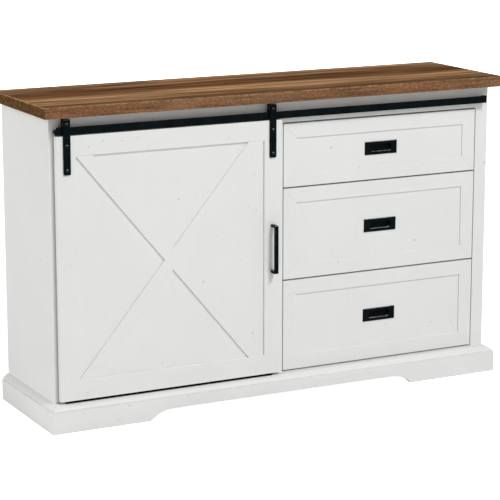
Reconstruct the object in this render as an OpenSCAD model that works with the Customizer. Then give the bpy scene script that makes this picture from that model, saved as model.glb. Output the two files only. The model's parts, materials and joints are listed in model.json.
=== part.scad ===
// Farmhouse sideboard buffet: one compartment behind a sliding barn door, three drawers beside it.
// Millimetres. +Z is up, the front faces -Y, and the origin is the middle of the footprint on the floor.

/* [Carcass] */
// Width of the cabinet body over its side panels
carcass_w = 1304; // [1200:4:1400]
// Depth of the cabinet body, from the face frame to the back edge of the sides
carcass_d = 331; // [325:1:400]
// Height of the whole piece
overall_h = 840; // [820:5:900]
// Thickness of the sides and the divider
panel_t = 16; // [15:1:18]
// Thickness of the back panel
back_t = 4; // [3:1:6]

/* [Top] */
// Thickness of the top board
top_t = 28; // [22:1:36]
// Overhang of the top board past each side
top_side = 23; // [10:1:40]
// Overhang of the top board past the face frame
top_front = 38; // [30:1:48]

/* [Face frame] */
// Width of each upright stile
stile_w = 38; // [34:1:44]
// Thickness of the face frame
face_t = 18; // [16:1:20]
// Height of the rail under the top
face_rail_h = 60; // [56:1:64]
// How far the drawer opening starts to the right of the middle
opening_shift = 9; // [5:1:20]

/* [Base] */
// Height of the deck's top face
deck_top = 72; // [70:1:80]
// Thickness of the deck
deck_t = 18; // [16:1:20]
// How far the deck reaches in front of the face frame, under the door
deck_front = 18; // [18:1:24]
// How far the plinth stands out past the deck
plinth_out = 18.5; // [17:0.5:22]
// Thickness of the plinth boards
plinth_t = 16; // [14:1:16]
// Height of the plinth boards' outer face
plinth_h = 57; // [55:1:58]
// Height of the arch cut in the front plinth
arch_h = 26; // [15:1:30]
// Length of the front plinth's foot at each end
foot_w = 273; // [200:1:320]

/* [Sliding door] */
// Width of the door
door_w = 636; // [620:1:640]
// Thickness of the door frame
door_t = 16; // [16:1:18]
// Gap between the face frame and the door
door_gap = 4; // [3:0.5:6]
// Width of the door's stiles and rails
door_frame_w = 52; // [45:1:60]
// Length of each brace's end, measured along the rail
brace_end = 46; // [30:1:60]
// How far the door slides
door_travel = 644; // [600:1:644]

/* [Track] */
// Height of the track bar
track_h = 19; // [16:1:22]
// Height of the track bar's top edge
track_top = 785.5; // [783:0.5:787]
// Width of the hanger strap
strap_w = 19; // [16:1:24]
// Radius of the roller's tread
tread_r = 8; // [7:0.5:8]

/* [Drawers] */
// Height of the top drawer's front
small_front_h = 170; // [150:1:190]
// Gap at each side of a drawer front
front_gap = 2.6; // [2:0.1:3]
// Gap between one drawer front and the next
stack_gap = 4.2; // [3:0.1:5]
// Gap under the bottom drawer's front
base_gap = 3.8; // [2:0.1:4]
// Gap over the top drawer's front
top_gap = 3.9; // [2:0.1:4]
// Width of the frame on each drawer front
front_frame_w = 40; // [36:1:46]

/* [Handle] */
// Height of the door handle
handle_h = 130; // [100:1:160]
// How far the handle stands off the door
handle_reach = 25; // [22:1:30]

/* [Hidden] */
$fn = 48;

// Driving planes
total_d = handle_reach + door_t + door_gap + carcass_d;
back_y = total_d / 2;
face_y = back_y - carcass_d;
door_back = face_y - door_gap;
door_front = door_back - door_t;
left_x = -carcass_w / 2;
right_x = carcass_w / 2;
top_z = overall_h - top_t;
deck_y = face_y - deck_front;
inner_back = back_y - back_t;
back_rail_t = 16;
joint_gap = 0.05;
// How far a cut runs past the face it starts from
cut = 1;

// Face frame openings
opening_top = top_z - face_rail_h;
drawer_x1 = right_x - stile_w;
drawer_x0 = opening_shift;
divider_x = drawer_x0 - panel_t;
opening_w = drawer_x1 - drawer_x0;

// Door, at rest over the left compartment
door_in = 12;
door_x = left_x + door_in;
door_z = 79;
door_top_gap = 2.5;
door_h = track_top - track_h - door_top_gap - door_z;
door_recess = 5.5;
brace_h = 4.5;
recess = 3.5;
edge_slope = 0.8;
panel_in = 7;
groove_in = 8;
door_panel_t = 7;
inner_w = door_w - 2 * door_frame_w;
inner_h = door_h - 2 * door_frame_w;
brace_angle = atan2(inner_h, inner_w - brace_end);
brace_w = brace_end * sin(brace_angle);

// Track and hangers
track_t = 5;
strap_t = 3.5;
rear_strap_t = 3;
strap_z0 = 666;
strap_bend = 3;
hanger_gap = 9;
hanger_shift = [1.5, -2];
hanger_x = [
    door_x + door_frame_w / 2 + hanger_shift[0],
    door_x + door_w - door_frame_w / 2 + hanger_shift[1]
];
roller_y = door_front + hanger_gap / 2;
roller_lift = 0.3;
roller_z = track_top + roller_lift + tread_r;
flange_r = tread_r + 1.8;
strap_clear = 0.4;
strap_top = roller_z + flange_r + strap_clear + rear_strap_t;
rear_strap_z0 = roller_z - flange_r;
roller_w = 8;
tread_w = track_t + 0.8;
axle_r = 3;
axle_clear = 0.05;
track_in = [10, 16];
track_x0 = left_x + track_in[0];
track_x1 = right_x - track_in[1];
track_y0 = roller_y - track_t / 2;
track_y1 = roller_y + track_t / 2;
stop_w = [18, 12];
stop_wall = [1.2, 2.5];
stop_high = 1.2;
stop_end = 1.5;
stop_corner = [4, 1];
bar_corner = [4.2, 1];
stop_nub_r = 2.4;
stop_nub_l = 4.5;
spacer_r = 6;
spacer_clear = 0.2;
track_bolt_r = 3;
track_bolt_skin = 1.5;
track_bolt_depth = 12;
track_nut_r = 5.5;
track_nut_t = 3;
track_bolt_in = [17.5, 25];
track_bolt_step = (carcass_w - track_bolt_in[0] - track_bolt_in[1]) / 3;
track_bolt_x = [for (i = [0:3]) left_x + track_bolt_in[0] + i * track_bolt_step];
strap_bolt_z = [739, 677];
strap_screw_r = 2;
strap_screw_in = 10;
bolt_head_r = 4;
bolt_head_h = 2.5;

// Door guide
guide_groove_w = 6;
guide_groove_d = 4;
guide_y = door_front + door_t / 2;
guide_pin_r = 2.5;
guide_pin_in = 12;
guide_pin_lift = 1;
groove_past = [3, 8];

// Dust strip under the door
dust_x = [13, 27];
dust_y = 1.2;
dust_t = 3;
dust_h = 5.5;

// Handle
handle_w = 10.5;
handle_bar = 5.5;
handle_x = hanger_x[1];
handle_z = 356.5;
handle_screw_r = 1.6;
handle_screw_in = 10;
handle_screw_z = [handle_z + handle_bar / 2, handle_z + handle_h - handle_bar / 2];
handle_head_r = 3.5;
handle_head_t = 2;

// Drawers, from the top one down
tall_front_h = (opening_top - deck_top - small_front_h - top_gap - base_gap - 2 * stack_gap) / 2;
front_h = [small_front_h, tall_front_h, tall_front_h];
front_z = [
    opening_top - top_gap - small_front_h,
    deck_top + base_gap + tall_front_h + stack_gap,
    deck_top + base_gap
];
front_w = opening_w - 2 * front_gap;
front_x = drawer_x0 + front_gap;
front_panel_t = 9;
panel_face = face_y + recess;
runner_t = 12.7;
box_side_t = 12;
box_h = [118, 190, 190];
box_lift = 16;
box_d = 300;
box_x0 = drawer_x0 + runner_t;
box_x1 = drawer_x1 - runner_t;
bottom_t = 4;
bottom_up = 10;
bottom_in = 6;

// Drawer pulls: a flush plate with a finger cup let into the front panel
pull_w = 100;
pull_h = 36;
pull_t = 2.5;
cup_w = 64;
cup_h = 20;
cup_wall = 2;
cup_r = 5;
pull_chamfer = 1;
pull_x = front_x + front_w / 2;
cup_floor = 1.2;

// Runners. A member is [web, flange start, flange end, half height], out from the opening's side.
runner_l = box_d;
runner_y = face_y + face_t;
runner_half = 22.5;
steel_t = 1.2;
cabinet_member = [0, 0, 9.5, runner_half];
middle_member = [4.6, 2.4, 10.4, runner_half - 2.5];
inner_member = [runner_t - steel_t, 7, runner_t, runner_half - 7.5];
batten_half = runner_half + 2.5;

// Shelf
shelf_t = 16;
shelf_z = 422;
shelf_front = 24;
shelf_gap = 1;
shelf_back = 4;
pin_r = 2.5;
pin_hole_r = 2.55;
pin_in = 8;
pin_out = 9;
pin_tip = 0.5;
pin_pitch = 32;
pin_cols = [face_y + 55, inner_back - 45];

// Cam locks that join the uprights to the top and the deck
cam_r = 7.5;
cam_t = 12;
cam_in = 34;
cam_gap = 0.2;
cam_slot_r = 2;
cam_slot_d = 1.5;
cam_bolt_r = 3;
cam_bolt_in = 10;
cam_y = [face_y + 60, inner_back - 70];
upright_x = [left_x + panel_t / 2, divider_x + panel_t / 2, right_x - panel_t / 2];
upright_face = [1, -1, -1];

// Wall fixing holes through the back rail and the back panel
wall_hole_r = 2.75;
wall_hole_x = 400;
wall_hole_z = top_z - face_rail_h / 2;

// Plinth, and the moulding on it
plinth_x = carcass_w / 2 + plinth_out;
plinth_y = deck_y - plinth_out;
block_w = 34;
block_z = 4;
mould_out = 15.5;
mould_step = 3.5;
mould_knee = [9, deck_top - 3.6];
arch_curve = 65;
arch_r = (arch_curve * arch_curve + arch_h * arch_h) / (2 * arch_h);

// Centre leg
leg_x = divider_x + panel_t / 2;
leg_y = face_y + 165;
stem_r = 4;
stem_clear = 0.05;
stem_z = 3;
stem_l = 40;
nut_r = 7.5;
nut_t = 4;
nut_lift = 0.5;
pad_r = 19;
pad_t = 8;
pad_rim = 4;
pad_neck_r = 9;
leg_z0 = 21;
socket_r = 15;
socket_flange_r = 24;
socket_flange_t = 5;

DRAWERS = ["top", "middle", "bottom"];

// ---- Shared shapes ----

// A box from one corner range to the other: x, y and z are [low, high].
module slab(x, y, z) {
    translate([x[0], y[0], z[0]]) cube([x[1] - x[0], y[1] - y[0], z[1] - z[0]]);
}

// A drilled hole or a round pin from a point, along X, Y or Z.
module rod_x(p, r, l) { translate(p) rotate([0, 90, 0]) cylinder(r = r, h = l); }
module rod_y(p, r, l) { translate(p) rotate([-90, 0, 0]) cylinder(r = r, h = l); }
module rod_z(p, r, l) { translate(p) cylinder(r = r, h = l); }

// Turns a front view, X right and Y up with Z towards the viewer, to stand with its back at y.
module stand(x, y, z) { translate([x, y, z]) rotate([90, 0, 0]) children(); }

// A rectangle with round corners, from the origin.
module round_rect(w, h, r) {
    translate([r, 0]) square([w - 2 * r, h]);
    translate([0, r]) square([w, h - 2 * r]);
    for (x = [r, w - r], y = [r, h - r]) translate([x, y]) circle(r);
}

// One bar of a mitred frame, along X, with its outer edge on y = 0 and its front at z = t.
// The inner edge slopes to the panel, which sits in a groove with its face this deep in the frame.
module frame_bar(l, w, t, deep, panel_thick) {
    intersection() {
        rotate([90, 0, 90]) linear_extrude(l) difference() {
            polygon([[0, 0], [w, 0], [w, t - edge_slope], [w - edge_slope, t], [0, t]]);
            translate([w - groove_in, t - deep - panel_thick]) square([groove_in + cut, panel_thick]);
        }
        linear_extrude(t)
            polygon([[joint_gap, 0], [l - joint_gap, 0], [l - w - joint_gap, w], [w + joint_gap, w]]);
    }
}

// The bar on one side of a w by h frame: 0 bottom, 1 right, 2 top, 3 left.
module frame_side(side, w, h, bar_w, t, deep, panel_thick) {
    corner = [[0, 0], [w, 0], [w, h], [0, h]];
    translate(corner[side]) rotate(90 * side)
        frame_bar(side % 2 == 0 ? w : h, bar_w, t, deep, panel_thick);
}

// ---- Cabinet ----

module top_board() {
    color("saddlebrown") difference() {
        slab([left_x - top_side, right_x + top_side], [face_y - top_front, back_y], [top_z, overall_h]);
        for (x = upright_x, y = cam_y) rod_z([x, y, top_z - cut], cam_bolt_r, cam_bolt_in + cut);
    }
}

// Pockets for the cam locks at both ends of one upright, and the bolt holes that lead to them.
module cam_pockets(i) {
    for (y = cam_y, end = [0, 1]) {
        z = end == 0 ? deck_top + cam_in : top_z - cam_in;
        face = upright_x[i] + upright_face[i] * panel_t / 2;
        rod_x([face - (upright_face[i] > 0 ? cam_t : 0), y, z], cam_r, cam_t);
        rod_z([upright_x[i], y, end == 0 ? deck_top - cut : top_z - cam_in], cam_bolt_r, cam_in + cut);
    }
}

// The five shelf pin holes in each column, drilled to depth from a face towards dir.
module pin_holes(face, dir) {
    x = dir > 0 ? face - cut : face - pin_in;
    for (y = pin_cols, i = [-2:2])
        rod_x([x, y, shelf_z + i * pin_pitch - pin_r], pin_hole_r, pin_in + cut);
}

module side_panel(i) {
    x = upright_x[i] - panel_t / 2;
    color("whitesmoke") difference() {
        slab([x, x + panel_t], [face_y + face_t, back_y], [deck_top, top_z]);
        cam_pockets(i);
        if (i == 0) pin_holes(x + panel_t, -1);
    }
}

module centre_divider() {
    color("whitesmoke") difference() {
        slab([divider_x, divider_x + panel_t], [face_y + face_t, inner_back], [deck_top, top_z]);
        slab([divider_x - cut, drawer_x0 + cut], [inner_back - back_rail_t, inner_back + cut],
            [opening_top, top_z + cut]);
        cam_pockets(1);
        pin_holes(divider_x, 1);
    }
}

module deck_panel() {
    groove_x0 = hanger_x[0] - guide_pin_r - groove_past[0];
    groove_x1 = hanger_x[1] + door_travel + guide_pin_r + groove_past[1];
    color("whitesmoke") difference() {
        slab([left_x, right_x], [deck_y, inner_back], [deck_top - deck_t, deck_top]);
        slab([groove_x0, groove_x1], [guide_y - guide_groove_w / 2, guide_y + guide_groove_w / 2],
            [deck_top - guide_groove_d, deck_top + cut]);
        for (x = upright_x, y = cam_y)
            rod_z([x, y, deck_top - cam_bolt_in], cam_bolt_r, cam_bolt_in + cut);
    }
}

module back_panel() {
    color("gainsboro") difference() {
        slab([left_x + panel_t, right_x - panel_t], [inner_back, back_y], [deck_top - deck_t, top_z]);
        for (x = [-wall_hole_x, wall_hole_x])
            rod_y([x, inner_back - cut, wall_hole_z], wall_hole_r, back_t + 2 * cut);
    }
}

// The hole in the face frame for one bolt of the track.
module track_bolt_hole(i, depth) {
    rod_y([track_bolt_x[i], face_y - cut, track_top - track_h / 2], track_bolt_r, depth + 2 * cut);
}

module face_stile_left() {
    color("white") difference() {
        slab([left_x, left_x + stile_w], [face_y, face_y + face_t], [deck_top, top_z]);
        track_bolt_hole(0, track_bolt_depth);
    }
}

module face_stile_right() {
    color("white") difference() {
        slab([right_x - stile_w, right_x], [face_y, face_y + face_t], [deck_top, top_z]);
        track_bolt_hole(3, track_bolt_depth);
    }
}

module face_stile_centre() {
    color("white")
        slab([drawer_x0 - stile_w, drawer_x0], [face_y, face_y + face_t], [deck_top, opening_top]);
}

module face_rail() {
    color("white") difference() {
        slab([left_x + stile_w, right_x - stile_w], [face_y, face_y + face_t], [opening_top, top_z]);
        for (i = [1, 2]) track_bolt_hole(i, face_t);
    }
}

module back_rail() {
    color("whitesmoke") difference() {
        slab([left_x + panel_t, right_x - panel_t], [inner_back - back_rail_t, inner_back],
            [opening_top, top_z]);
        for (x = [-wall_hole_x, wall_hole_x])
            rod_y([x, inner_back - back_rail_t - cut, wall_hole_z], wall_hole_r, back_rail_t + 2 * cut);
    }
}

// ---- Base ----

// The arch under the front plinth: level in the middle, with a round shoulder at each end.
module arch_outline() {
    level = plinth_x - foot_w - arch_curve;
    translate([-level, -cut]) square([2 * level, arch_h + cut]);
    for (side = [-1, 1]) translate([side * level, arch_h - arch_r]) circle(arch_r);
}

module plinth_front() {
    color("white") difference() {
        linear_extrude(plinth_h) polygon([
            [-plinth_x, plinth_y], [plinth_x, plinth_y],
            [plinth_x - plinth_t, plinth_y + plinth_t], [-plinth_x + plinth_t, plinth_y + plinth_t]
        ]);
        stand(0, plinth_y + plinth_t + cut, 0) linear_extrude(plinth_t + 2 * cut) arch_outline();
    }
}

module plinth_left() {
    color("white") linear_extrude(plinth_h) polygon([
        [-plinth_x, plinth_y], [-plinth_x + plinth_t, plinth_y + plinth_t],
        [-plinth_x + plinth_t, back_y], [-plinth_x, back_y]
    ]);
}

module plinth_right() { mirror([1, 0, 0]) plinth_left(); }

module plinth_back() {
    inner = plinth_x - plinth_t;
    color("whitesmoke") slab([-inner, inner], [inner_back - plinth_t, inner_back], [0, deck_top - deck_t]);
}

// Section of the moulding, x outwards from the deck's edge and y up: a soft slope over a small step.
module moulding_section() {
    steps = 8;
    low = plinth_h + mould_step;
    slope = [for (i = [0:steps]) let (t = i / steps)
        (1 - t) * (1 - t) * [0, deck_top] + 2 * t * (1 - t) * mould_knee + t * t * [mould_out, low]];
    polygon(concat([[0, plinth_h]], [[mould_out, plinth_h]], [for (i = [steps:-1:0]) slope[i]]));
}

module base_moulding() {
    half = carcass_w / 2;
    gap = 2 * joint_gap;
    color("white") {
        intersection() {
            translate([-half - mould_out, deck_y, 0]) rotate([90, 0, 90]) mirror([1, 0])
                linear_extrude(carcass_w + 2 * mould_out) moulding_section();
            linear_extrude(deck_top + cut) polygon([
                [-half - mould_out + gap, deck_y - mould_out], [half + mould_out - gap, deck_y - mould_out],
                [half - gap, deck_y], [-half + gap, deck_y]
            ]);
        }
        for (side = [0, 1]) mirror([side, 0, 0]) intersection() {
            translate([half, back_y, 0]) rotate([90, 0, 0])
                linear_extrude(back_y - deck_y + mould_out) moulding_section();
            linear_extrude(deck_top + cut) polygon([
                [half, deck_y], [half + mould_out, deck_y - mould_out],
                [half + mould_out, back_y], [half, back_y]
            ]);
        }
    }
}

// Corner blocks inside the plinth, and the battens that carry the right-hand runners.
module timber_cleats() {
    inner = plinth_x - plinth_t;
    color("burlywood") {
        for (side = [0, 1], y = [plinth_y + plinth_t, inner_back - plinth_t - block_w])
            mirror([side, 0, 0])
                slab([inner - block_w, inner], [y, y + block_w], [block_z, deck_top - deck_t]);
        for (i = [0:2])
            slab([drawer_x1, right_x - panel_t], [runner_y, runner_y + runner_l],
                [runner_z(i) - batten_half, runner_z(i) + batten_half]);
    }
}

module leg_socket() {
    socket_h = deck_top - deck_t - leg_z0;
    color("dimgray") difference() {
        union() {
            rod_z([leg_x, leg_y, leg_z0], socket_r, socket_h);
            rod_z([leg_x, leg_y, leg_z0 + socket_h - socket_flange_t], socket_flange_r, socket_flange_t);
        }
        rod_z([leg_x, leg_y, leg_z0 - cut], stem_r + stem_clear, socket_h);
    }
}

module leveller_pad() {
    color("dimgray") difference() {
        union() {
            rod_z([leg_x, leg_y, 0], pad_r, pad_rim);
            translate([leg_x, leg_y, pad_rim]) cylinder(r1 = pad_r, r2 = pad_neck_r, h = pad_t - pad_rim);
        }
        rod_z([leg_x, leg_y, stem_z - stem_clear], stem_r + stem_clear, pad_t);
    }
}

module leveller_stem() {
    color("silver") union() {
        rod_z([leg_x, leg_y, stem_z], stem_r, stem_l);
        translate([leg_x, leg_y, pad_t + nut_lift]) cylinder(r = nut_r, h = nut_t, $fn = 6);
    }
}

// ---- Shelf and fittings ----

module shelf() {
    color("whitesmoke")
        slab([left_x + panel_t + shelf_gap, divider_x - shelf_gap],
            [face_y + shelf_front, inner_back - shelf_back], [shelf_z, shelf_z + shelf_t]);
}

module shelf_pins() {
    color("silver") for (y = pin_cols, side = [0, 1]) {
        face = side == 0 ? left_x + panel_t : divider_x;
        x = side == 0 ? face - pin_in + pin_tip : face - pin_out;
        rod_x([x, y, shelf_z - pin_r], pin_r, pin_in + pin_out - pin_tip);
    }
}

module cam_locks() {
    color("silver") for (i = [0:2], y = cam_y, end = [0, 1]) {
        z = end == 0 ? deck_top + cam_in : top_z - cam_in;
        face = upright_x[i] + upright_face[i] * panel_t / 2;
        difference() {
            rod_x([face - (upright_face[i] > 0 ? cam_t - cam_gap : -cam_gap), y, z],
                cam_r, cam_t - 2 * cam_gap);
            rod_x([face - (upright_face[i] > 0 ? cam_slot_d : cut), y, z], cam_slot_r, cam_slot_d + cut);
        }
        bolt_l = cam_in - cam_r - 2 * cam_gap;
        bolt_z = end == 0 ? deck_top - cam_bolt_in : top_z - bolt_l;
        rod_z([upright_x[i], y, bolt_z], cam_bolt_r, bolt_l + cam_bolt_in);
    }
}

// ---- Track ----

// A flat bar's outline from the front, w long and h high, with the corners of each end cut off.
module bar_outline(w, h, corner) {
    left = corner[0];
    right = corner[1];
    polygon([
        [0, left], [left, 0], [w - right, 0], [w, right],
        [w, h - right], [w - right, h], [left, h], [0, h - left]
    ]);
}

// The track bar before it is drilled.
module track_blank() {
    stand(track_x0 + stop_end, track_y1, track_top - track_h) linear_extrude(track_t)
        bar_outline(track_x1 - track_x0 - 2 * stop_end, track_h, bar_corner);
}

module track_bar() {
    color("#1b1d1f") difference() {
        track_blank();
        for (x = track_bolt_x)
            rod_y([x, track_y0 + track_bolt_skin, track_top - track_h / 2],
                track_bolt_r + joint_gap, track_t);
    }
}

// Spacers that hold the bar off the face frame, with the bolt through each.
module track_fixings() {
    z = track_top - track_h / 2;
    color("#1b1d1f") for (i = [0:3]) {
        x = track_bolt_x[i];
        through = i == 1 || i == 2;
        end = face_y + (through ? face_t : track_bolt_depth);
        difference() {
            rod_y([x, track_y1, z], spacer_r, face_y - track_y1);
            rod_y([x, track_y1 - cut, z], track_bolt_r + spacer_clear, face_y - track_y1 + 2 * cut);
        }
        rod_y([x, track_y0 + track_bolt_skin, z], track_bolt_r, end - track_y0 - track_bolt_skin);
        if (through) rod_y([x, face_y + face_t, z], track_nut_r, track_nut_t);
    }
}

// A cap over each end of the bar, with a rubber nub on the left one.
module track_end_stops() {
    z = track_top - track_h;
    color("#161718") {
        difference() {
            stand(track_x0, track_y1 + stop_wall[1], z)
                linear_extrude(track_t + stop_wall[0] + stop_wall[1])
                    bar_outline(track_x1 - track_x0, track_h + stop_high, stop_corner);
            slab([track_x0 + stop_w[0], track_x1 - stop_w[1]],
                [track_y0 - stop_wall[0] - cut, track_y1 + stop_wall[1] + cut],
                [z - cut, track_top + stop_high + cut]);
            track_blank();
            for (x = track_bolt_x)
                rod_y([x, track_y1, z + track_h / 2], spacer_r, stop_wall[1] + cut);
        }
        rod_x([track_x0 - stop_nub_l, roller_y, z + track_h / 2], stop_nub_r, stop_nub_l + stop_end);
    }
}

// ---- Door ----

module door_bar(side) {
    color("white") stand(door_x, door_back, door_z)
        frame_side(side, door_w, door_h, door_frame_w, door_t, door_recess, door_panel_t);
}

module door_rail_bottom() {
    difference() {
        door_bar(0);
        for (x = hanger_x) rod_z([x, guide_y, door_z - cut], guide_pin_r, guide_pin_in + cut);
    }
}

module door_stile_left() { difference() { door_bar(3); strap_holes(0); } }

module door_stile_right() {
    difference() {
        door_bar(1);
        strap_holes(1);
        for (z = handle_screw_z)
            rod_y([handle_x, door_front - cut, z], handle_screw_r + joint_gap, door_t + 2 * cut);
    }
}

module door_rail_top() { difference() { door_bar(2); strap_holes(0); strap_holes(1); } }

// Holes for the two screws that hold one hanger to its corner of the door.
module strap_holes(i) {
    for (z = strap_bolt_z)
        rod_y([hanger_x[i], door_front - cut, z], strap_screw_r + joint_gap, strap_screw_in + 2 * cut);
}

module door_panel() {
    w = inner_w + 2 * panel_in;
    h = inner_h + 2 * panel_in;
    color("white") stand(door_x + door_frame_w - panel_in, door_back, door_z + door_frame_w - panel_in)
        translate([0, 0, door_t - door_recess - door_panel_t]) cube([w, h, door_panel_t]);
}

// A brace before it is cut to the frame, falling from the top left corner to the bottom right.
module brace_blank() {
    run = [inner_w - brace_end, inner_h];
    l = norm(run) + 4 * brace_w;
    half = brace_w / 2;
    slope = 0.6;
    stand(door_x + door_frame_w, door_back, door_z + door_frame_w)
        intersection() {
            translate([inner_w / 2, inner_h / 2, door_t - door_recess]) rotate(-brace_angle)
                rotate([90, 0, 90]) translate([0, 0, -l / 2]) linear_extrude(l) polygon([
                    [-half, 0], [half, 0], [half, brace_h - slope],
                    [half - slope, brace_h], [-half + slope, brace_h], [-half, brace_h - slope]
                ]);
            translate([-edge_slope, -edge_slope, 0])
                cube([inner_w + 2 * edge_slope, inner_h + 2 * edge_slope, door_t]);
        }
}

module mirror_on_door() {
    centre = door_x + door_w / 2;
    translate([centre, 0, 0]) mirror([1, 0, 0]) translate([-centre, 0, 0]) children();
}

module door_brace_long() {
    color("white") difference() {
        brace_blank();
        for (side = [0:3]) door_bar(side);
    }
}

module door_brace_halves() {
    color("white") difference() {
        mirror_on_door() brace_blank();
        brace_blank();
        for (side = [0:3]) door_bar(side);
    }
}

module door_guide_pins() {
    z0 = deck_top - guide_groove_d + guide_pin_lift;
    color("dimgray") for (x = hanger_x) rod_z([x, guide_y, z0], guide_pin_r, door_z + guide_pin_in - z0);
}

// A black felt strip under the door, in front of the guide pins.
module door_dust_strip() {
    y0 = door_front + dust_y;
    color("black") slab([door_x + dust_x[0], door_x + door_w - dust_x[1]], [y0, y0 + dust_t],
        [door_z - dust_h, door_z]);
}

// The strap in side view, folded over the track: long front leg, top, short rear leg.
module strap_section() {
    front = door_front - strap_t;
    depth = strap_t + hanger_gap + rear_strap_t;
    low = rear_strap_z0 - 2 * strap_bend;
    translate([front, strap_z0]) square([strap_t, strap_top - strap_z0 - strap_bend]);
    difference() {
        translate([front, low]) round_rect(depth, strap_top - low, strap_bend);
        translate([door_front, low - cut]) square([hanger_gap, strap_top - rear_strap_t - low + cut]);
        translate([front - cut, low - cut]) square([depth + 2 * cut, 2 * strap_bend + cut]);
    }
}

module hanger(i) {
    corner = 3;
    color("#1b1d1f") difference() {
        translate([hanger_x[i] - strap_w / 2, 0, 0]) rotate([90, 0, 90])
            linear_extrude(strap_w) strap_section();
        for (side = [-1, 1]) translate([hanger_x[i] + side * strap_w / 2, 0, strap_z0]) difference() {
            slab([-corner, corner], [door_front - strap_t - cut, door_front + cut], [-cut, corner]);
            rod_y([-side * corner, door_front - strap_t - 2 * cut, corner], corner, strap_t + 4 * cut);
        }
        for (z = strap_bolt_z)
            rod_y([hanger_x[i], door_front - strap_t - cut, z],
                strap_screw_r + joint_gap, strap_t + 2 * cut);
        rod_y([hanger_x[i], door_front - strap_t - cut, roller_z], axle_r,
            hanger_gap + strap_t + rear_strap_t + 2 * cut);
    }
}

// A round head with a hex socket, its flat side at y and facing the front.
module button_head(x, y, z, r, h) {
    dome_r = 1.6 * r;
    hex_r = 0.45 * r;
    hex_d = 0.6 * h;
    difference() {
        translate([x, y, z]) rotate([90, 0, 0]) intersection() {
            cylinder(r = r, h = h);
            translate([0, 0, h - dome_r]) sphere(dome_r);
        }
        translate([x, y - h - cut, z]) rotate([-90, 0, 0]) cylinder(r = hex_r, h = hex_d + cut, $fn = 6);
    }
}

// Hanger screws, roller axles and the screws behind the handle.
module door_fasteners() {
    front = door_front - strap_t;
    color("#26282a") {
        for (x = hanger_x) {
            for (z = strap_bolt_z) {
                button_head(x, front, z, bolt_head_r, bolt_head_h);
                rod_y([x, front, z], strap_screw_r, strap_t + strap_screw_in);
            }
            button_head(x, front, roller_z, bolt_head_r, bolt_head_h);
            rod_y([x, front, roller_z], axle_r, hanger_gap + strap_t + rear_strap_t);
        }
        for (z = handle_screw_z) {
            rod_y([handle_x, door_front - handle_screw_in, z], handle_screw_r, door_t + handle_screw_in);
            rod_y([handle_x, door_back, z], handle_head_r, handle_head_t);
        }
    }
}

module door_handle() {
    corner = 2.5;
    color("#131415") difference() {
        translate([handle_x - handle_w / 2, door_front - handle_reach, handle_z]) rotate([90, 0, 90])
            linear_extrude(handle_w) difference() {
                union() {
                    round_rect(handle_reach, handle_h, corner);
                    translate([corner, 0]) square([handle_reach - corner, handle_h]);
                }
                translate([handle_bar, handle_bar]) square([handle_reach, handle_h - 2 * handle_bar]);
            }
        for (z = handle_screw_z)
            rod_y([handle_x, door_front - handle_screw_in, z],
                handle_screw_r + joint_gap, handle_screw_in + cut);
    }
}

module roller(i) {
    half = roller_w / 2;
    tread = tread_w / 2;
    bore = axle_r + axle_clear;
    rim_bevel = 0.6;
    flank = 0.3;
    color("gainsboro") translate([hanger_x[i], roller_y, roller_z]) rotate([90, 0, 0])
        rotate_extrude() polygon([
            [bore, -half], [flange_r - rim_bevel, -half], [flange_r, -tread - flank], [tread_r, -tread],
            [tread_r, tread], [flange_r, tread + flank], [flange_r - rim_bevel, half], [bore, half]
        ]);
}

// ---- Drawers ----

function box_z(i) = front_z[i] + box_lift;
function runner_z(i) = box_z(i) + box_h[i] / 2;

module drawer_front_frame(i) {
    color("white") for (side = [0:3]) stand(front_x, face_y + face_t, front_z[i])
        frame_side(side, front_w, front_h[i], front_frame_w, face_t, recess, front_panel_t);
}

module drawer_front_panel(i) {
    in = front_frame_w - panel_in;
    hole_w = cup_w + 2 * cup_wall + 2 * joint_gap;
    hole_h = cup_h + 2 * cup_wall + 2 * joint_gap;
    color("white") difference() {
        slab([front_x + in, front_x + front_w - in], [panel_face, panel_face + front_panel_t],
            [front_z[i] + in, front_z[i] + front_h[i] - in]);
        stand(pull_x - hole_w / 2, panel_face + front_panel_t + cut,
            front_z[i] + front_h[i] / 2 - hole_h / 2)
            linear_extrude(front_panel_t + 2 * cut) round_rect(hole_w, hole_h, cup_r + cup_wall + joint_gap);
    }
}

// The pull's plate cut across: w wide, with its front edges chamfered.
module chamfered_section(w) {
    half = w / 2;
    polygon([
        [-half, 0], [half, 0], [half, pull_t - pull_chamfer], [half - pull_chamfer, pull_t],
        [-half + pull_chamfer, pull_t], [-half, pull_t - pull_chamfer]
    ]);
}

module drawer_pull(i) {
    z = front_z[i] + front_h[i] / 2;
    hole_w = cup_w + 2 * cup_wall;
    hole_h = cup_h + 2 * cup_wall;
    color("#161718") difference() {
        union() {
            stand(pull_x, panel_face, z) intersection() {
                rotate([90, 0, 90]) translate([0, 0, -pull_w / 2])
                    linear_extrude(pull_w) chamfered_section(pull_h);
                rotate([90, 0, 0]) translate([0, 0, -pull_h / 2])
                    linear_extrude(pull_h) chamfered_section(pull_w);
            }
            stand(pull_x - hole_w / 2, panel_face + front_panel_t, z - hole_h / 2)
                linear_extrude(front_panel_t + cut) round_rect(hole_w, hole_h, cup_r + cup_wall);
        }
        stand(pull_x - cup_w / 2, panel_face + front_panel_t - cup_floor, z - cup_h / 2)
            linear_extrude(front_panel_t + pull_t + cut) round_rect(cup_w, cup_h, cup_r);
    }
}

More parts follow.
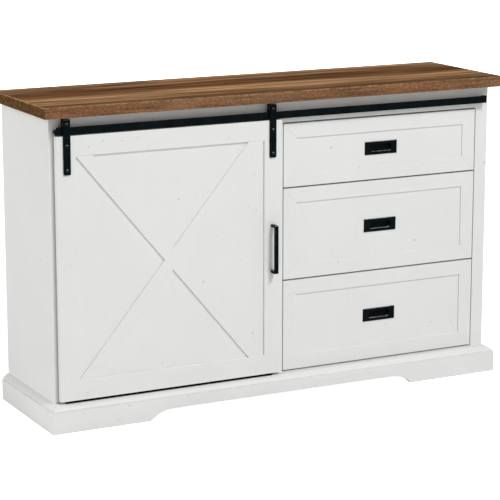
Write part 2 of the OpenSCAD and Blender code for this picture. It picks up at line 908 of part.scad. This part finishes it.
// Two sides, a back and a bottom, as four pieces.
module drawer_box(i) {
    y0 = face_y + face_t;
    y1 = y0 + box_d;
    z0 = box_z(i);
    z1 = z0 + box_h[i];
    bottom_z = z0 + bottom_up;
    gap = joint_gap;
    x0 = box_x0 + box_side_t;
    x1 = box_x1 - box_side_t;
    color("white") {
        difference() {
            union() {
                slab([box_x0, x0], [y0, y1], [z0, z1]);
                slab([x1, box_x1], [y0, y1], [z0, z1]);
            }
            slab([x0 - bottom_in, x1 + bottom_in], [y0 - cut, y1 + cut], [bottom_z, bottom_z + bottom_t]);
        }
        slab([x0 + gap, x1 - gap], [y1 - box_side_t, y1], [bottom_z + bottom_t, z1]);
        slab([x0 - bottom_in + gap, x1 + bottom_in - gap], [y0, y1],
            [bottom_z + gap, bottom_z + bottom_t - gap]);
    }
}

// A channel of folded steel in end view, for one runner member.
module channel(member) {
    half = member[3];
    translate([member[0], -half]) square([steel_t, 2 * half]);
    for (y = [-half, half - steel_t]) translate([member[1], y]) square([member[2] - member[1], steel_t]);
}

// The same member on both sides of a drawer.
module runner_pair(i, member) {
    color("silver") for (side = [0, 1])
        translate([side == 0 ? drawer_x0 : drawer_x1, runner_y + runner_l, runner_z(i)])
            mirror([side, 0, 0]) rotate([90, 0, 0]) linear_extrude(runner_l) channel(member);
}

module runner_cabinet_members() { for (i = [0:2]) runner_pair(i, cabinet_member); }
module runner_middle(i) { runner_pair(i, middle_member); }
module runner_inner(i) { runner_pair(i, inner_member); }

// ---- The nodes ----

top_board();
side_panel(0);  // side_panel_left
side_panel(2);  // side_panel_right
centre_divider();
deck_panel();
back_panel();
face_stile_left();
face_stile_right();
face_stile_centre();
face_rail();
back_rail();
plinth_front();
plinth_left();
plinth_right();
plinth_back();
base_moulding();
timber_cleats();
shelf();
shelf_pins();
cam_locks();
track_bar();
track_fixings();
track_end_stops();
runner_cabinet_members();
leg_socket();
leveller_pad();
leveller_stem();
door_panel();
door_stile_left();
door_stile_right();
door_rail_top();
door_rail_bottom();
door_brace_long();
door_brace_halves();
door_guide_pins();
door_dust_strip();
door_handle();
door_fasteners();
hanger(0);  // hanger_left
hanger(1);  // hanger_right
roller(0);  // roller_left
roller(1);  // roller_right
for (i = [0:2]) {
    name = str("drawer_", DRAWERS[i]);
    drawer_front_frame(i);
    drawer_front_panel(i);
    drawer_pull(i);
    drawer_box(i);
    runner_inner(i);
    runner_middle(i);
}
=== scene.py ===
import json
import math

import bpy
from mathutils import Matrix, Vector

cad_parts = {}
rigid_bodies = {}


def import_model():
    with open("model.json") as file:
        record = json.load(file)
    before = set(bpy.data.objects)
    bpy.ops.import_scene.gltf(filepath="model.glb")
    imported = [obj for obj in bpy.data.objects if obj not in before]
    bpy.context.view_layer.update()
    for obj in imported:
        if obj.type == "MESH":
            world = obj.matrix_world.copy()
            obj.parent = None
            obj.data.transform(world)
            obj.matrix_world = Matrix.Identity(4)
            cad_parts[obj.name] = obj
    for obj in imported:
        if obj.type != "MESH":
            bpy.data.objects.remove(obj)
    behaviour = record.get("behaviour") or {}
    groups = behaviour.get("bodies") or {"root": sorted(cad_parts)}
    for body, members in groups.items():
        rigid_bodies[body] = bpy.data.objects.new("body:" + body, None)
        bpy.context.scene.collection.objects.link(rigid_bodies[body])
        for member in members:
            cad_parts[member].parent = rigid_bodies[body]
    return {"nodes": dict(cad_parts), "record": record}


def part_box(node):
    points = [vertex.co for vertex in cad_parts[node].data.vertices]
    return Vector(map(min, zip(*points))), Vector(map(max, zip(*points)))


# Looks for the sideboard buffet: softened edges, procedural materials, floor, light and camera.
# Metres, in the CAD frame: +Z is up, the front faces -Y, and +X is to the right.

X, Y, Z = 0, 1, 2


def srgb(red, green, blue):
    """The linear RGBA of a colour given as 0 to 255."""
    def linear(value):
        value /= 255
        return value / 12.92 if value <= 0.04045 else ((value + 0.055) / 1.055) ** 2.4
    return (linear(red), linear(green), linear(blue), 1.0)


class Nodes:
    """Builds one material's nodes. Most calls return an output socket that feeds the next call."""

    def __init__(self, name):
        self.material = bpy.data.materials.new(name)
        self.material.use_nodes = True
        self.tree = self.material.node_tree
        self.shader = self.tree.nodes["Principled BSDF"]

    def put(self, socket, value):
        if isinstance(value, bpy.types.NodeSocket):
            self.tree.links.new(value, socket)
        else:
            socket.default_value = value

    def add(self, kind, inputs, **settings):
        node = self.tree.nodes.new(kind)
        for key, value in settings.items():
            setattr(node, key, value)
        for key, value in inputs.items():
            self.put(node.inputs[key], value)
        return node

    def surface(self, **inputs):
        """Sets the shader's own inputs, named with underscores for spaces."""
        for key, value in inputs.items():
            self.put(self.shader.inputs[key.replace("_", " ")], value)
        return self.material

    def position(self):
        """The point on the object, in metres in the CAD frame."""
        return self.add("ShaderNodeTexCoord", {}).outputs["Object"]

    def facing(self):
        """The direction the surface faces, as X, Y and Z."""
        normal = self.add("ShaderNodeTexCoord", {}).outputs["Normal"]
        return self.split(normal)

    def split(self, vector):
        return self.add("ShaderNodeSeparateXYZ", {"Vector": vector}).outputs

    def stretched(self, vector, lengths, offset=(0, 0, 0), turn=(0, 0, 0)):
        """Coordinates whose features are longer by lengths, after a turn about X, Y and Z."""
        inputs = {"Vector": vector, "Location": offset, "Rotation": turn, "Scale": lengths}
        return self.add("ShaderNodeMapping", inputs, vector_type="TEXTURE").outputs["Vector"]

    def noise(self, vector, scale, detail=2.0, roughness=0.5, distortion=0.0):
        inputs = {
            "Vector": vector, "Scale": scale, "Detail": detail,
            "Roughness": roughness, "Distortion": distortion,
        }
        return self.add("ShaderNodeTexNoise", inputs).outputs["Fac"]

    def wave(self, vector, scale, distortion, detail, direction):
        inputs = {
            "Vector": vector, "Scale": scale, "Distortion": distortion,
            "Detail": detail, "Detail Scale": 1.0,
        }
        node = self.add("ShaderNodeTexWave", inputs, bands_direction=direction)
        return node.outputs["Fac"]

    def math(self, operation, a, b=0.0, c=0.0):
        return self.add("ShaderNodeMath", {0: a, 1: b, 2: c}, operation=operation).outputs[0]

    def product(self, *values):
        result = values[0]
        for value in values[1:]:
            result = self.math("MULTIPLY", result, value)
        return result

    def span(self, value, low, high, out_low=0.0, out_high=1.0, curve="SMOOTHSTEP"):
        """Maps value from low..high to out_low..out_high, and holds it there beyond them."""
        inputs = {
            "Value": value, "From Min": low, "From Max": high,
            "To Min": out_low, "To Max": out_high,
        }
        node = self.add("ShaderNodeMapRange", inputs, interpolation_type=curve)
        return node.outputs["Result"]

    def ramp(self, factor, stops):
        """The colour at factor between stops, each a place from 0 to 1 and a colour."""
        node = self.add("ShaderNodeValToRGB", {"Fac": factor})
        elements = node.color_ramp.elements
        while len(elements) < len(stops):
            elements.new(1.0)
        for element, (place, colour) in zip(elements, stops):
            element.position = place
            element.color = colour
        return node.outputs["Color"]

    def mix(self, factor, a, b, blend="MIX"):
        node = self.add("ShaderNodeMix", {}, data_type="RGBA", blend_type=blend)
        self.put(node.inputs[0], factor)
        self.put(node.inputs[6], a)
        self.put(node.inputs[7], b)
        return node.outputs[2]

    def mix_vector(self, factor, a, b):
        node = self.add("ShaderNodeMix", {}, data_type="VECTOR")
        self.put(node.inputs[0], factor)
        self.put(node.inputs[4], a)
        self.put(node.inputs[5], b)
        return node.outputs[1]

    def tinted(self, colour, value):
        """A colour multiplied by a grey value."""
        base = colour if isinstance(colour, bpy.types.NodeSocket) else colour[:3]
        inputs = {0: base, 1: self.grey(value)}
        return self.add("ShaderNodeVectorMath", inputs, operation="MULTIPLY").outputs[0]

    def grey(self, value):
        return self.add("ShaderNodeCombineXYZ", {0: value, 1: value, 2: value}).outputs[0]

    def bump(self, height, distance, strength=1.0):
        inputs = {"Height": height, "Distance": distance, "Strength": strength}
        return self.add("ShaderNodeBump", inputs).outputs["Normal"]

    def edge(self, low, high):
        """0 on flat faces and 1 on the softened edges, from which way the surface faces."""
        x, y, z = [self.math("ABSOLUTE", self.facing()[axis]) for axis in (X, Y, Z)]
        largest = self.math("MAXIMUM", self.math("MAXIMUM", x, y), z)
        return self.span(largest, high, low)


# ---- Materials ----

WHITE = (0.80, 0.806, 0.787, 1.0)
WHITE_SHADE = (0.70, 0.70, 0.672, 1.0)
WHITE_FLECK = (0.30, 0.30, 0.28, 1.0)
INNER_WHITE = (0.74, 0.74, 0.72, 1.0)
BACK_WHITE = (0.62, 0.61, 0.58, 1.0)

BLACK = (0.0024, 0.0046, 0.0054, 1.0)
BLACK_BLUE = (0.0042, 0.0080, 0.0092, 1.0)
BLACK_WORN = (0.030, 0.034, 0.038, 1.0)
# The pale grey of painted highlights on black metal
BLACK_PAINTED_HIGHLIGHT = (0.30, 0.31, 0.32, 1.0)
# The black of the strip under the door, which stands in for the shadow in the gap there: painted shade
SHADE_STRIP_DARK = (0.002, 0.002, 0.002, 1.0)
SHADE_STRIP_LIGHT = (0.008, 0.008, 0.009, 1.0)
NYLON_DARK = (0.018, 0.018, 0.019, 1.0)
NYLON_LIGHT = (0.034, 0.034, 0.036, 1.0)
ZINC_COOL = (0.60, 0.61, 0.63, 1.0)
ZINC_WARM = (0.70, 0.70, 0.68, 1.0)

WOOD_PALE = srgb(174, 131, 91)
WOOD_TAN = srgb(144, 109, 74)
WOOD_BROWN = srgb(114, 81, 52)
WOOD_OLIVE = srgb(110, 78, 44)
WOOD_DARK = srgb(98, 58, 29)
WOOD_EDGE = srgb(132, 98, 71)
WOOD_END = srgb(97, 68, 41)
# The paler colour along the top's rim, in broken patches
WOOD_RIM_PALE = srgb(190, 154, 120)
# Multiplies the front edge's colour where it blushes
WOOD_RED = (1.07, 0.96, 0.90, 1.0)
# The printed boards of the top, from its front edge (0) to its back (1)
TOP_BANDS = (
    (0.00, WOOD_BROWN), (0.10, WOOD_BROWN), (0.16, WOOD_TAN), (0.20, WOOD_BROWN),
    (0.235, WOOD_PALE), (0.29, WOOD_TAN), (0.345, WOOD_PALE), (0.39, WOOD_TAN),
    (0.42, WOOD_PALE), (0.47, WOOD_TAN), (0.50, WOOD_BROWN), (0.55, WOOD_DARK),
    (0.60, WOOD_OLIVE), (0.655, WOOD_DARK), (0.70, WOOD_BROWN), (0.78, WOOD_TAN),
    (0.85, WOOD_BROWN), (0.90, WOOD_TAN), (0.935, WOOD_PALE), (1.00, WOOD_BROWN),
)
PINE_RINGS = ((0.0, srgb(214, 180, 132)), (0.7, srgb(203, 165, 115)), (1.0, srgb(176, 130, 82)))

# How much longer the white boards' grain is than it is wide
GRAIN_LENGTH = 34.0


def grain_lengths(axis):
    """The lengths of grain that runs along one axis, for Nodes.stretched."""
    lengths = [1.0, 1.0, 1.0]
    lengths[axis] = GRAIN_LENGTH
    return lengths


def laminate(name, along, offset):
    """Off-white paint over a faint grain, with a few dark flecks. along() gives its coordinates."""
    nodes = Nodes(name)
    position = nodes.position()
    grain = along(nodes, position, offset)
    fibres = nodes.noise(grain, 230.0, 3.0, 0.6)
    fine = nodes.noise(grain, 900.0, 2.0, 0.6)
    pores = nodes.span(nodes.noise(grain, 520.0, 1.0), 0.60, 0.74)
    flecks = nodes.span(nodes.noise(position, 75.0, 1.0), 0.775, 0.80)
    dashes = nodes.span(nodes.noise(grain, 120.0, 0.0), 0.86, 0.92)
    patches = nodes.noise(position, 5.0, 2.0)
    tone = nodes.math("MULTIPLY_ADD", fibres, 0.040, nodes.span(patches, 0.3, 0.7, 0.968, 0.992))
    colour = nodes.mix(nodes.math("MULTIPLY", pores, 0.20), WHITE, WHITE_SHADE)
    marks = nodes.math("MAXIMUM", flecks, nodes.math("MULTIPLY", dashes, 0.5))
    colour = nodes.mix(nodes.math("MULTIPLY", marks, 0.45), colour, WHITE_FLECK)
    height = nodes.math("MULTIPLY_ADD", fibres, 0.6, nodes.math("MULTIPLY", fine, 0.4))
    height = nodes.math("SUBTRACT", height, nodes.math("MULTIPLY", pores, 0.5))
    return nodes.surface(
        Base_Color=nodes.tinted(colour, tone),
        Roughness=nodes.span(fine, 0.3, 0.7, 0.42, 0.54),
        Normal=nodes.bump(height, 0.00012, 0.45),
    )


def straight(axis):
    """Grain along one axis."""
    def along(nodes, position, offset):
        return nodes.stretched(position, grain_lengths(axis), offset)
    return along


def slanted(angle):
    """Grain along a brace that lies at an angle to X, seen from the front."""
    def along(nodes, position, offset):
        return nodes.stretched(position, grain_lengths(X), offset, (0, angle, 0))
    return along


def mitred(node):
    """Grain along each bar of a mitred frame, by which of the frame's edges a point is nearest to."""
    low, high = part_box(node)
    centre, half = (low + high) / 2, (high - low) / 2

    def along(nodes, position, offset):
        place = nodes.split(position)
        near = []
        for axis in (X, Z):
            from_centre = nodes.math("ABSOLUTE", nodes.math("SUBTRACT", place[axis], centre[axis]))
            near.append(nodes.math("SUBTRACT", half[axis], from_centre))
        upright = nodes.math("LESS_THAN", near[0], near[1])
        level_grain = nodes.stretched(position, grain_lengths(X), offset)
        upright_grain = nodes.stretched(position, grain_lengths(Z), offset)
        return nodes.mix_vector(upright, level_grain, upright_grain)
    return along


def top_face(nodes, position, place, low, high):
    """The printed boards of the top face, in bands from front to back, and their streaks alone."""
    drift = nodes.noise(nodes.stretched(position, (1.6, 1.0, 1.0)), 2.2, 2.0)
    ripple = nodes.noise(nodes.stretched(position, (7.0, 1.0, 1.0)), 22.0, 3.0)
    depth = nodes.span(place[Y], low.y, high.y, curve="LINEAR")
    depth = nodes.math("ADD", depth, nodes.span(drift, 0.25, 0.75, -0.045, 0.045))
    depth = nodes.math("ADD", depth, nodes.span(ripple, 0.2, 0.8, -0.030, 0.030))
    bands = nodes.ramp(depth, TOP_BANDS)
    broad = nodes.noise(nodes.stretched(position, (13.0, 1.0, 1.0)), 42.0, 3.0, 0.6)
    thin = nodes.noise(nodes.stretched(position, (24.0, 1.0, 1.0)), 120.0, 3.0, 0.6)
    between = nodes.stretched(position, (16.0, 1.0, 1.0), offset=(0.4, 0.9, 0.0))
    dark_lines = nodes.noise(between, 52.0, 1.0)
    flecks = nodes.noise(nodes.stretched(position, (5.0, 1.0, 1.0)), 420.0, 2.0)
    tone = nodes.product(
        nodes.span(broad, 0.32, 0.68, 0.64, 1.44),
        nodes.span(thin, 0.30, 0.70, 0.80, 1.17),
        nodes.span(dark_lines, 0.56, 0.68, 1.0, 0.60),
        nodes.span(flecks, 0.56, 0.72, 1.0, 0.80),
    )
    return nodes.tinted(bands, tone), tone


def front_edge(nodes, position, clouds):
    """The speckled front and back edges of the top."""
    speckle = nodes.noise(nodes.stretched(position, (3.5, 1.0, 1.0)), 480.0, 3.0, 0.7)
    lines = nodes.noise(nodes.stretched(position, (20.0, 1.0, 1.0)), 190.0, 2.0)
    waves = nodes.wave(nodes.stretched(position, (6.0, 6.0, 1.0)), 40.0, 12.0, 3.0, "Z")
    tone = nodes.product(
        nodes.span(speckle, 0.35, 0.65, 0.58, 1.38),
        nodes.span(clouds, 0.30, 0.70, 0.80, 1.14),
        nodes.span(lines, 0.54, 0.66, 1.0, 0.68),
        nodes.span(waves, 0.0, 0.35, 0.88, 1.02),
    )
    blush = nodes.noise(nodes.stretched(position, (3.0, 1.0, 1.0)), 16.0, 2.0)
    speckled = nodes.tinted(WOOD_EDGE, tone)
    return nodes.mix(nodes.span(blush, 0.35, 0.65), speckled, WOOD_RED, "MULTIPLY")


def end_edge(nodes, position, clouds):
    """The darker ends of the top, with a short slanting grain."""
    slant = nodes.stretched(position, (1.0, 3.2, 1.0), turn=(0.45, 0.0, 0.0))
    grain = nodes.noise(slant, 250.0, 4.0, 0.65)
    tone = nodes.product(
        nodes.span(grain, 0.36, 0.64, 0.52, 1.44),
        nodes.span(clouds, 0.30, 0.70, 0.88, 1.10),
    )
    return nodes.tinted(WOOD_END, tone)


def pale_rim(nodes, position, place, low, high, top_facing):
    """How much paler the wood is near the edges between the top face and the sides, in broken patches.
    """
    below_rim = nodes.math("SUBTRACT", high.z, place[Z])
    from_front = nodes.math("SUBTRACT", place[Y], low.y)
    from_end = nodes.math("SUBTRACT", high.x, nodes.math("ABSOLUTE", place[X]))
    on_top = nodes.span(nodes.math("MINIMUM", from_front, from_end), 0.0012, 0.0050, 0.7, 0.0)
    on_sides = nodes.span(below_rim, 0.0008, 0.0038, 1.0, 0.0)
    rim = nodes.math("MULTIPLY_ADD", top_facing, nodes.math("SUBTRACT", on_top, on_sides), on_sides)
    rim_patches = nodes.noise(nodes.stretched(position, (2.5, 2.5, 1.0)), 110.0, 3.0, 0.6)
    near_end = nodes.span(from_end, 0.001, 0.007, 0.26, 0.0)
    rim_amount = nodes.math("ADD", nodes.span(rim_patches, 0.44, 0.62, 0.06, 0.60), near_end)
    return nodes.math("MULTIPLY", rim, rim_amount)


def wood_top():
    """Printed oak: streaked on top, speckled in front, darker at the ends, and paler along the rim."""
    nodes = Nodes("wood_top")
    low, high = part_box("top_board")
    position = nodes.position()
    place = nodes.split(position)
    facing = nodes.facing()
    face, streaks = top_face(nodes, position, place, low, high)
    clouds = nodes.noise(nodes.stretched(position, (10.0, 1.0, 1.0)), 75.0, 3.0, 0.6)
    front = front_edge(nodes, position, clouds)
    end = end_edge(nodes, position, clouds)

    top_facing = nodes.span(nodes.math("ABSOLUTE", facing[Z]), 0.45, 0.55)
    end_facing = nodes.span(nodes.math("ABSOLUTE", facing[X]), 0.55, 0.65)
    colour = nodes.mix(top_facing, front, face)
    colour = nodes.mix(end_facing, colour, end)
    rim_paleness = pale_rim(nodes, position, place, low, high, top_facing)
    return nodes.surface(
        Base_Color=nodes.mix(rim_paleness, colour, WOOD_RIM_PALE),
        Roughness=nodes.span(streaks, 0.6, 1.2, 0.60, 0.50),
        Specular_IOR_Level=0.008,
        Normal=nodes.bump(streaks, 0.0003, 0.5),
    )


def matte_board(name, colour, texture_scale):
    """Flat painted board with a faint orange-peel texture."""
    nodes = Nodes(name)
    position = nodes.position()
    patches = nodes.noise(position, 7.0, 3.0)
    peel = nodes.noise(position, texture_scale, 3.0, 0.6)
    tone = nodes.product(
        nodes.span(patches, 0.3, 0.7, 0.96, 1.0),
        nodes.span(peel, 0.3, 0.7, 0.975, 1.01),
    )
    return nodes.surface(
        Base_Color=nodes.tinted(colour, tone),
        Roughness=nodes.span(peel, 0.3, 0.7, 0.5, 0.66),
        Normal=nodes.bump(peel, 0.00012, 0.5),
    )


def raw_pine():
    """Planed pine, unfinished, with growth rings along Y."""
    nodes = Nodes("raw_timber")
    position = nodes.position()
    rings = nodes.wave(nodes.stretched(position, (1.0, 12.0, 1.0)), 60.0, 5.0, 3.0, "DIAGONAL")
    fibres = nodes.noise(nodes.stretched(position, (1.0, 40.0, 1.0)), 700.0, 3.0, 0.6)
    colour = nodes.ramp(rings, PINE_RINGS)
    return nodes.surface(
        Base_Color=nodes.tinted(colour, nodes.span(fibres, 0.3, 0.7, 0.88, 1.06)),
        Roughness=nodes.span(fibres, 0.3, 0.7, 0.62, 0.78),
        Normal=nodes.bump(fibres, 0.0002, 0.5),
    )


def powder_coat(name, highlight_on_flats=False):
    """Satin black powder coat with a pebbled skin, and a painted highlight where it faces up: on edges,
    or all over.
    """
    nodes = Nodes(name)
    position = nodes.position()
    pebbles = nodes.noise(position, 1500.0, 2.0, 0.5)
    patches = nodes.noise(position, 40.0, 3.0)
    highlight_patches = nodes.noise(position, 130.0, 2.0)
    colour = nodes.mix(nodes.span(patches, 0.3, 0.7), BLACK, BLACK_BLUE)
    colour = nodes.mix(nodes.math("MULTIPLY", nodes.edge(0.80, 0.98), 0.30), colour, BLACK_WORN)
    # Painted highlight: pale grey where the coat faces up, in patches, standing in for light from above
    # catching it
    upward = nodes.span(nodes.facing()[Z], 0.25, 0.55)
    painted_highlight = nodes.product(upward, nodes.span(highlight_patches, 0.35, 0.60, 0.25, 1.0))
    if not highlight_on_flats:
        painted_highlight = nodes.product(painted_highlight, nodes.edge(0.86, 0.99))
    colour = nodes.mix(painted_highlight, colour, BLACK_PAINTED_HIGHLIGHT)
    return nodes.surface(
        Base_Color=colour,
        Roughness=nodes.span(pebbles, 0.3, 0.7, 0.30, 0.42),
        Specular_IOR_Level=0.03,
        Normal=nodes.bump(pebbles, 0.00006, 0.6),
    )


def black_bolts():
    """Black-oxide screws, with a painted highlight as small glints on the upper edges of their heads.
    """
    nodes = Nodes("black_bolts")
    turned = nodes.noise(nodes.position(), 700.0, 2.0)
    upward = nodes.span(nodes.facing()[Z], 0.10, 0.45)
    # Painted highlight on the upper edges of the heads
    painted_glint = nodes.product(nodes.edge(0.86, 0.99), upward, nodes.span(turned, 0.35, 0.60, 0.3, 1.0))
    return nodes.surface(
        Base_Color=nodes.mix(painted_glint, BLACK_BLUE, BLACK_PAINTED_HIGHLIGHT),
        Roughness=nodes.span(turned, 0.3, 0.7, 0.34, 0.44),
        Specular_IOR_Level=0.12,
        Normal=nodes.bump(turned, 0.00004, 0.5),
    )


def shade_strip_felt():
    """Pressed black felt with a soft nap of short fibres, for the black strip under the door that
    stands in for the shadow in the gap there: painted shade.
    """
    nodes = Nodes("black_felt")
    nap = nodes.noise(nodes.stretched(nodes.position(), (1.0, 1.0, 2.5)), 1600.0, 3.0, 0.7)
    return nodes.surface(
        Base_Color=nodes.mix(nap, SHADE_STRIP_DARK, SHADE_STRIP_LIGHT),
        Roughness=nodes.span(nap, 0.3, 0.7, 0.90, 1.0),
        Specular_IOR_Level=0.02,
        Normal=nodes.bump(nap, 0.0001, 0.7),
    )


def nylon():
    """Moulded black nylon with a faint flow texture."""
    nodes = Nodes("black_nylon")
    position = nodes.position()
    flow = nodes.noise(position, 160.0, 3.0, 0.55)
    grit = nodes.noise(position, 1100.0, 2.0)
    return nodes.surface(
        Base_Color=nodes.mix(flow, NYLON_DARK, NYLON_LIGHT),
        Roughness=nodes.span(grit, 0.3, 0.7, 0.46, 0.62),
        Normal=nodes.bump(grit, 0.00005, 0.5),
    )


def zinc_steel():
    """Zinc-plated steel, rolled along Y, with its cloudy passivated tint."""
    nodes = Nodes("bright_steel")
    position = nodes.position()
    rolled = nodes.noise(nodes.stretched(position, (1.0, 60.0, 1.0)), 900.0, 3.0, 0.6)
    clouds = nodes.noise(position, 28.0, 4.0, 0.6)
    colour = nodes.mix(nodes.span(clouds, 0.3, 0.7), ZINC_COOL, ZINC_WARM)
    return nodes.surface(
        Base_Color=nodes.tinted(colour, nodes.span(rolled, 0.3, 0.7, 0.92, 1.05)),
        Metallic=1.0,
        Roughness=nodes.span(rolled, 0.3, 0.7, 0.28, 0.42),
        Normal=nodes.bump(rolled, 0.00004, 0.5),
    )


LEVEL_BOARDS = (
    "face_rail", "plinth_front", "base_moulding", "deck_panel", "door_rail_top", "door_rail_bottom",
)
DEEP_BOARDS = ("plinth_left", "plinth_right")
# How far each end of a brace reaches along the door's rail
BRACE_END = 0.046


def brace_angle():
    """The long brace's angle to X: it runs from one corner of the door's opening to the other."""
    low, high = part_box("door_brace_long")
    return math.atan2(high.z - low.z, high.x - low.x - BRACE_END)


def white_grain(node):
    """Which way the grain runs on one white node."""
    if node.endswith("front_frame"):
        return mitred(node)
    if node == "door_brace_long":
        return slanted(brace_angle())
    if node == "door_brace_halves":
        return slanted(-brace_angle())
    if node in DEEP_BOARDS:
        return straight(Y)
    return straight(X) if node in LEVEL_BOARDS else straight(Z)


def slot_names(frame):
    """The record's material slot of every CAD node."""
    return {part["node"]: part["material_slot"] for part in frame["record"]["subparts"]}


def paint(frame, slots):
    """Gives every CAD node its material. Each white board has its own stretch of grain."""
    shared = {
        "wood_top": wood_top(),
        "white_inner": matte_board("white_inner", INNER_WHITE, 900.0),
        "back_board": matte_board("back_board", BACK_WHITE, 500.0),
        "raw_timber": raw_pine(),
        "bright_steel": zinc_steel(),
        "black_steel": powder_coat("black_steel"),
        "black_nylon": nylon(),
        # The strip under the door is black to stand in for the shadow in the gap under the door:
        # painted shade
        "black_felt": shade_strip_felt(),
    }
    bolts = black_bolts()
    # The pulls' up-facing faces, such as the cup's lower lip, get the painted highlight all over
    pulls = powder_coat("black_pulls", highlight_on_flats=True)
    board_step = Vector((0.37, 0.53, 0.71))
    for number, name in enumerate(sorted(frame["nodes"])):
        slot = slots[name]
        if name == "door_fasteners":
            material = bolts
        elif name.endswith("_pull"):
            material = pulls
        elif slot == "white_laminate":
            material = laminate("white_laminate." + name, white_grain(name), board_step * number)
        else:
            material = shared[slot]
        for holder in frame["nodes"][name].material_slots:
            holder.material = material


# ---- Edges ----

# How far the softened edge reaches on each side, by material slot
EDGE_WIDTH = {
    "wood_top": 0.0011, "white_laminate": 0.0004, "white_inner": 0.0005, "back_board": 0.0003,
    "raw_timber": 0.0008, "bright_steel": 0.00025, "black_steel": 0.00045, "black_nylon": 0.0004,
    "black_felt": 0.0003,
}
WELD_DISTANCE = 2e-6
BEVEL_ANGLE = math.radians(38)


def soften(obj, width):
    """Rounds an object's sharp edges a little, without touching its mesh."""
    weld = obj.modifiers.new("weld", "WELD")
    weld.merge_threshold = WELD_DISTANCE
    bevel = obj.modifiers.new("soft_edges", "BEVEL")
    bevel.width = width
    bevel.segments = 2
    bevel.limit_method = "ANGLE"
    bevel.angle_limit = BEVEL_ANGLE
    normals = obj.modifiers.new("normals", "WEIGHTED_NORMAL")
    normals.keep_sharp = False


def soften_all(frame, slots):
    for name, obj in frame["nodes"].items():
        soften(obj, EDGE_WIDTH[slots[name]])


# ---- Studio ----

# The floor glows to the camera only, so that it looks as white as the backdrop and lights nothing
FLOOR_GLOW = 1.0
FLOOR_RADIUS = 30.0
# Just under the feet, so that no two faces share a plane
FLOOR_DROP = 0.0004
FLOOR_DARK = (0.86, 0.86, 0.86, 1.0)
FLOOR_LIGHT = (0.88, 0.88, 0.88, 1.0)
PURE_WHITE = (1.0, 1.0, 1.0, 1.0)

# The point that the lights aim at, and how far from it they are
LIGHT_TARGET = Vector((0.0, 0.0, 0.42))
LIGHT_DISTANCE = 8.0


def studio_floor():
    """A wide pale disc under the sideboard."""
    bpy.ops.mesh.primitive_circle_add(
        vertices=96, radius=FLOOR_RADIUS, fill_type="NGON", location=(0.0, 0.0, -FLOOR_DROP),
    )
    floor = bpy.context.object
    floor.name = "studio_floor"
    nodes = Nodes("studio_floor")
    cloth = nodes.noise(nodes.position(), 3.0, 2.0)
    seen = nodes.add("ShaderNodeLightPath", {}).outputs["Is Camera Ray"]
    nodes.surface(
        Base_Color=nodes.mix(cloth, FLOOR_DARK, FLOOR_LIGHT),
        Roughness=0.9,
        Specular_IOR_Level=0.1,
        Emission_Color=PURE_WHITE,
        Emission_Strength=nodes.math("MULTIPLY", seen, FLOOR_GLOW),
    )
    floor.data.materials.append(nodes.material)


def area_light(name, size, watts, azimuth, elevation, glossy=True):
    """A square soft light aimed at the sideboard. Azimuth 0 is in front, 90 at the right."""
    turn = math.radians(azimuth)
    rise = math.radians(elevation)
    level = math.cos(rise)
    out = Vector((math.sin(turn) * level, -math.cos(turn) * level, math.sin(rise)))
    lamp = bpy.data.lights.new(name, "AREA")
    lamp.shape = "SQUARE"
    lamp.size = size
    lamp.energy = watts
    holder = bpy.data.objects.new(name, lamp)
    holder.location = LIGHT_TARGET + out * LIGHT_DISTANCE
    holder.rotation_euler = (-out).to_track_quat("-Z", "Y").to_euler()
    holder.visible_glossy = glossy
    bpy.context.scene.collection.objects.link(holder)


def studio_world(seen, ambient):
    """A white backdrop to the camera, and a softer even light for everything else."""
    world = bpy.data.worlds.new("studio")
    world.use_nodes = True
    tree = world.node_tree
    backdrop = tree.nodes["Background"]
    path = tree.nodes.new("ShaderNodeLightPath")
    level = tree.nodes.new("ShaderNodeMapRange")
    level.inputs["To Min"].default_value = ambient
    level.inputs["To Max"].default_value = seen
    tree.links.new(path.outputs["Is Camera Ray"], level.inputs["Value"])
    backdrop.inputs["Color"].default_value = PURE_WHITE
    tree.links.new(level.outputs["Result"], backdrop.inputs["Strength"])
    bpy.context.scene.world = world


def light_studio():
    studio_world(seen=1.05, ambient=0.30)
    area_light("key", size=1.6, watts=337.0, azimuth=14.0, elevation=49.0)
    area_light("fill", size=2.4, watts=50.0, azimuth=4.0, elevation=27.0)
    area_light("side", size=3.6, watts=256.0, azimuth=-112.0, elevation=22.0)
    # Its gloss is off, because it would glance off the top
    area_light("back", size=3.6, watts=140.0, azimuth=155.0, elevation=3.0, glossy=False)
    view = bpy.context.scene.view_settings
    view.view_transform = "Standard"
    view.look = "None"


CAMERA_PLACE = (-2.485, -4.796, 1.560)
# Degrees to the right of straight ahead, which is +Y, and below level
CAMERA_TURN = 27.25
CAMERA_DIP = 12.30
SENSOR_MM = 36.0
LENS_MM = 145.76
CAMERA_REACH = 200.0


def photo_camera():
    """The photograph's viewing angle: from the left and a little above, through a long lens."""
    data = bpy.data.cameras.new("camera")
    data.sensor_width = SENSOR_MM
    data.lens = LENS_MM
    data.clip_end = CAMERA_REACH
    camera = bpy.data.objects.new("camera", data)
    camera.location = CAMERA_PLACE
    camera.rotation_euler = (math.radians(90.0 - CAMERA_DIP), 0.0, math.radians(-CAMERA_TURN))
    bpy.context.scene.collection.objects.link(camera)
    bpy.context.scene.camera = camera


for stray in list(bpy.data.objects):
    bpy.data.objects.remove(stray, do_unlink=True)
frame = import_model()
bpy.context.view_layer.update()

photo_camera()
slots = slot_names(frame)
paint(frame, slots)
soften_all(frame, slots)
studio_floor()
light_studio()

bpy.context.view_layer.update()
